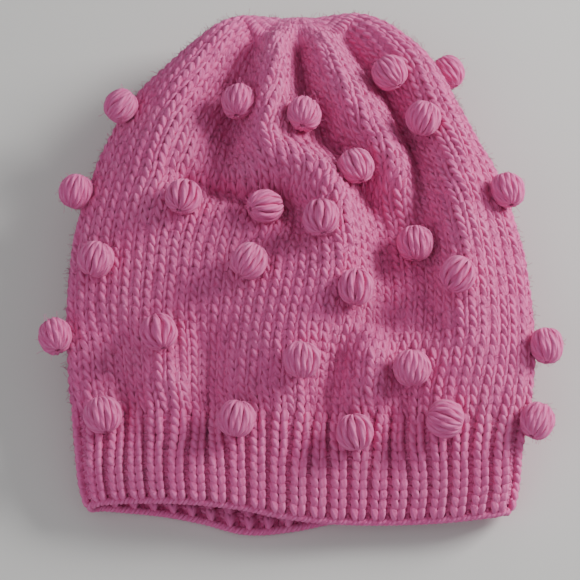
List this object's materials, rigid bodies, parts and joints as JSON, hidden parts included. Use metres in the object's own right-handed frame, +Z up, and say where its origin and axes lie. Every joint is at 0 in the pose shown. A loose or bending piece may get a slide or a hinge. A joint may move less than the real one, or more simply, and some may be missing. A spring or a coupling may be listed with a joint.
{
  "type": "knitted bobble beanie",
  "caption": "Slouchy hand-knitted winter hat laid flat: ribbed band, stockinette body covered in worked pom pom bobbles, and a gathered, pleated crown.",
  "frame": {"origin": "on the table under the middle of the hat's footprint", "axes": "+X to the wearer's side on the right of the picture, +Y from the band towards the crown, +Z up off the table"},
  "size_m": [0.2512, 0.2616, 0.0677],
  "materials": {
    "rib_fabric": "matt single rib in a soft aran-weight yarn, bubble-gum pink",
    "body_fabric": "matt stockinette in the same yarn, slightly fuzzy",
    "bobble_yarn": "matt plied yarn, puffed strands running from pole to pole",
    "edge_yarn": "matt plied yarn"
  },
  "bodies": {
    "root": {"bobble_a1": "bobble_yarn", "bobble_a2": "bobble_yarn", "bobble_a3": "bobble_yarn", "bobble_a4": "bobble_yarn", "bobble_b1": "bobble_yarn", "bobble_b2": "bobble_yarn", "bobble_b3": "bobble_yarn", "bobble_back_a1": "bobble_yarn", "bobble_back_a2": "bobble_yarn", "bobble_back_a3": "bobble_yarn", "bobble_back_a4": "bobble_yarn", "bobble_back_b1": "bobble_yarn", "bobble_back_b2": "bobble_yarn", "bobble_back_b3": "bobble_yarn", "bobble_back_c1": "bobble_yarn", "bobble_back_c2": "bobble_yarn", "bobble_back_c3": "bobble_yarn", "bobble_back_c4": "bobble_yarn", "bobble_back_d1": "bobble_yarn", "bobble_back_d2": "bobble_yarn", "bobble_back_d3": "bobble_yarn", "bobble_back_e1": "bobble_yarn", "bobble_back_e2": "bobble_yarn", "bobble_c1": "bobble_yarn", "bobble_c2": "bobble_yarn", "bobble_c3": "bobble_yarn", "bobble_c4": "bobble_yarn", "bobble_d1": "bobble_yarn", "bobble_d2": "bobble_yarn", "bobble_d3": "bobble_yarn", "bobble_d4": "bobble_yarn", "bobble_e1": "bobble_yarn", "bobble_e2": "bobble_yarn", "bobble_e3": "bobble_yarn", "bobble_e4": "bobble_yarn", "bobble_edge_a1": "bobble_yarn", "bobble_edge_b1": "bobble_yarn", "bobble_edge_b2": "bobble_yarn", "bobble_edge_d1": "bobble_yarn", "bobble_edge_d2": "bobble_yarn", "bobble_edge_e1": "bobble_yarn", "bobble_f1": "bobble_yarn", "bobble_f2": "bobble_yarn", "bobble_f3": "bobble_yarn", "cast_on_edge": "edge_yarn", "cast_on_tail": "edge_yarn", "closing_tail": "edge_yarn", "crown_front": "body_fabric", "crown_back": "body_fabric", "crown_closing_yarn": "edge_yarn", "hat_body_front": "body_fabric", "hat_body_back": "body_fabric", "rib_band_front": "rib_fabric", "rib_band_back": "rib_fabric"}
  },
  "joints": []
}
